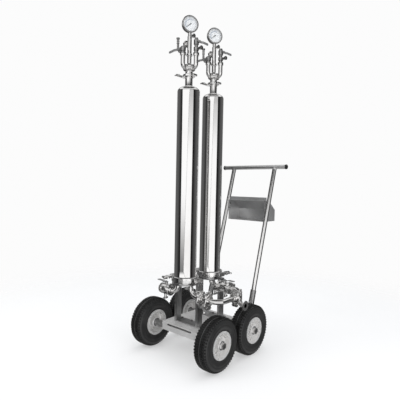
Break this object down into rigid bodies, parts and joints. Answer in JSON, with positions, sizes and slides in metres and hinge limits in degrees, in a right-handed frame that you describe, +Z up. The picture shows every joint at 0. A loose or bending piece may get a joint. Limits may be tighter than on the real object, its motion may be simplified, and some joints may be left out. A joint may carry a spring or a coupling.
{
  "type": "filter cart",
  "caption": "Wheeled cart with two upright sanitary cartridge filter housings, clamped pipework, butterfly valves, top gauges, a push handle and a tool tray.",
  "frame": {"origin": "on the floor, under the middle of the whole cart", "axes": "+Z up, +Y towards the push handle, +X towards the outlet ferrule"},
  "size_m": [0.5488, 0.7965, 1.7325],
  "materials": {
    "tyre_rubber": "matt",
    "zinc_plate": "satin zinc plate",
    "bearing_steel": "ground",
    "frame_paint": "satin",
    "blasted_sheet": "bead blasted",
    "leg_steel": "satin",
    "black_plastic": "matt",
    "tray_sheet": "brushed",
    "polished_steel": "mirror polished stainless",
    "cast_steel": "bright cast stainless",
    "filter_plastic": "white moulded",
    "seal_rubber": "white silicone",
    "dial_paint": "white enamel",
    "gauge_glass": "clear",
    "pointer_paint": "black enamel"
  },
  "bodies": {
    "cart": {"axle_nuts": "bearing_steel", "axle_rods": "bearing_steel", "axle_tubes": "frame_paint", "base_clamp_front": "cast_steel", "base_clamp_rear": "cast_steel", "base_front": "polished_steel", "base_rear": "polished_steel", "bell_front": "polished_steel", "bell_rear": "polished_steel", "cartridge_front": "filter_plastic", "cartridge_rear": "filter_plastic", "collector": "polished_steel", "deck": "blasted_sheet", "drain_tee": "polished_steel", "frame_bolts": "bearing_steel", "gauge_cases": "polished_steel", "gauge_dials": "dial_paint", "gauge_glasses": "gauge_glass", "handle_end_caps": "black_plastic", "handle_frame": "leg_steel", "handle_sockets": "frame_paint", "inlet_valve_front": "polished_steel", "inlet_valve_rear": "polished_steel", "leg_frame_front": "leg_steel", "leg_frame_rear": "leg_steel", "neck_clamps": "cast_steel", "outlet_valve": "polished_steel", "pipe_clamps": "cast_steel", "seals": "seal_rubber", "sweep_pipe": "polished_steel", "tool_tray": "tray_sheet", "vent_cross_front": "polished_steel", "vent_cross_rear": "polished_steel", "vent_valves_front": "polished_steel", "vent_valves_rear": "polished_steel"},
    "wheel_front_left": {"tyre_front_left": "tyre_rubber", "rim_front_left": "zinc_plate", "wheel_bearings_front_left": "bearing_steel"},
    "wheel_front_right": {"tyre_front_right": "tyre_rubber", "rim_front_right": "zinc_plate", "wheel_bearings_front_right": "bearing_steel"},
    "wheel_rear_left": {"tyre_rear_left": "tyre_rubber", "rim_rear_left": "zinc_plate", "wheel_bearings_rear_left": "bearing_steel"},
    "wheel_rear_right": {"tyre_rear_right": "tyre_rubber", "rim_rear_right": "zinc_plate", "wheel_bearings_rear_right": "bearing_steel"},
    "inlet_handle_body_front": {"inlet_handle_front": "cast_steel"},
    "inlet_handle_body_rear": {"inlet_handle_rear": "cast_steel"},
    "outlet_handle_body": {"outlet_handle": "cast_steel"},
    "sample_lever_body_front": {"sample_lever_front": "cast_steel"},
    "bleed_lever_body_front": {"bleed_lever_front": "cast_steel"},
    "sample_lever_body_rear": {"sample_lever_rear": "cast_steel"},
    "bleed_lever_body_rear": {"bleed_lever_rear": "cast_steel"},
    "drain_lever_body": {"drain_lever": "cast_steel"},
    "gauge_pointer_body_front": {"gauge_pointer_front": "pointer_paint"},
    "base_nut_body_front": {"base_wing_nut_front": "cast_steel"},
    "gauge_pointer_body_rear": {"gauge_pointer_rear": "pointer_paint"},
    "base_nut_body_rear": {"base_wing_nut_rear": "cast_steel"}
  },
  "joints": [
    {"name": "wheel_spin_front_left", "type": "hinge", "parent": "cart", "child": "wheel_front_left", "pos_m": [-0.227, -0.26825, 0.13], "axis": [1, 0, 0], "continuous": true},
    {"name": "wheel_spin_front_right", "type": "hinge", "parent": "cart", "child": "wheel_front_right", "pos_m": [0.227, -0.26825, 0.13], "axis": [1, 0, 0], "continuous": true},
    {"name": "wheel_spin_rear_left", "type": "hinge", "parent": "cart", "child": "wheel_rear_left", "pos_m": [-0.227, 0.00275, 0.13], "axis": [1, 0, 0], "continuous": true},
    {"name": "wheel_spin_rear_right", "type": "hinge", "parent": "cart", "child": "wheel_rear_right", "pos_m": [0.227, 0.00275, 0.13], "axis": [1, 0, 0], "continuous": true},
    {"name": "inlet_turn_front", "type": "hinge", "parent": "cart", "child": "inlet_handle_body_front", "pos_m": [-0.093, -0.29675, 0.34], "axis": [0, 0, 1], "range_deg": [0, 90]},
    {"name": "inlet_turn_rear", "type": "hinge", "parent": "cart", "child": "inlet_handle_body_rear", "pos_m": [-0.133, -0.09375, 0.34], "axis": [0, 0, 1], "range_deg": [0, 90]},
    {"name": "outlet_turn", "type": "hinge", "parent": "cart", "child": "outlet_handle_body", "pos_m": [0.128, -0.08375, 0.35], "axis": [0, 0, 1], "range_deg": [0, 90]},
    {"name": "sample_turn_front", "type": "hinge", "parent": "cart", "child": "sample_lever_body_front", "pos_m": [-0.014, -0.31515, 1.554], "axis": [0, -1, 0], "range_deg": [0, 90]},
    {"name": "bleed_turn_front", "type": "hinge", "parent": "cart", "child": "bleed_lever_body_front", "pos_m": [0.0634, -0.25275, 1.591], "axis": [1, 0, 0], "range_deg": [0, 90]},
    {"name": "sample_turn_rear", "type": "hinge", "parent": "cart", "child": "sample_lever_body_rear", "pos_m": [-0.014, -0.12015, 1.554], "axis": [0, -1, 0], "range_deg": [0, 90]},
    {"name": "bleed_turn_rear", "type": "hinge", "parent": "cart", "child": "bleed_lever_body_rear", "pos_m": [0.0634, -0.05775, 1.591], "axis": [1, 0, 0], "range_deg": [0, 90]},
    {"name": "drain_turn", "type": "hinge", "parent": "cart", "child": "drain_lever_body", "pos_m": [0.138, -0.27515, 0.288], "axis": [0, -1, 0], "range_deg": [-65, 25]},
    {"name": "gauge_swing_front", "type": "hinge", "parent": "cart", "child": "gauge_pointer_body_front", "pos_m": [0, -0.25275, 1.69], "axis": [0.866, -0.5, 0], "range_deg": [-270, 0]},
    {"name": "base_nut_turn_front", "type": "hinge", "parent": "cart", "child": "base_nut_body_front", "pos_m": [-0.0785, -0.30275, 0.404], "axis": [0, -1, 0], "continuous": true},
    {"name": "gauge_swing_rear", "type": "hinge", "parent": "cart", "child": "gauge_pointer_body_rear", "pos_m": [0, -0.05775, 1.69], "axis": [0.866, -0.5, 0], "range_deg": [-270, 0]},
    {"name": "base_nut_turn_rear", "type": "hinge", "parent": "cart", "child": "base_nut_body_rear", "pos_m": [0.0785, -0.00775, 0.404], "axis": [0, 1, 0], "continuous": true}
  ]
}
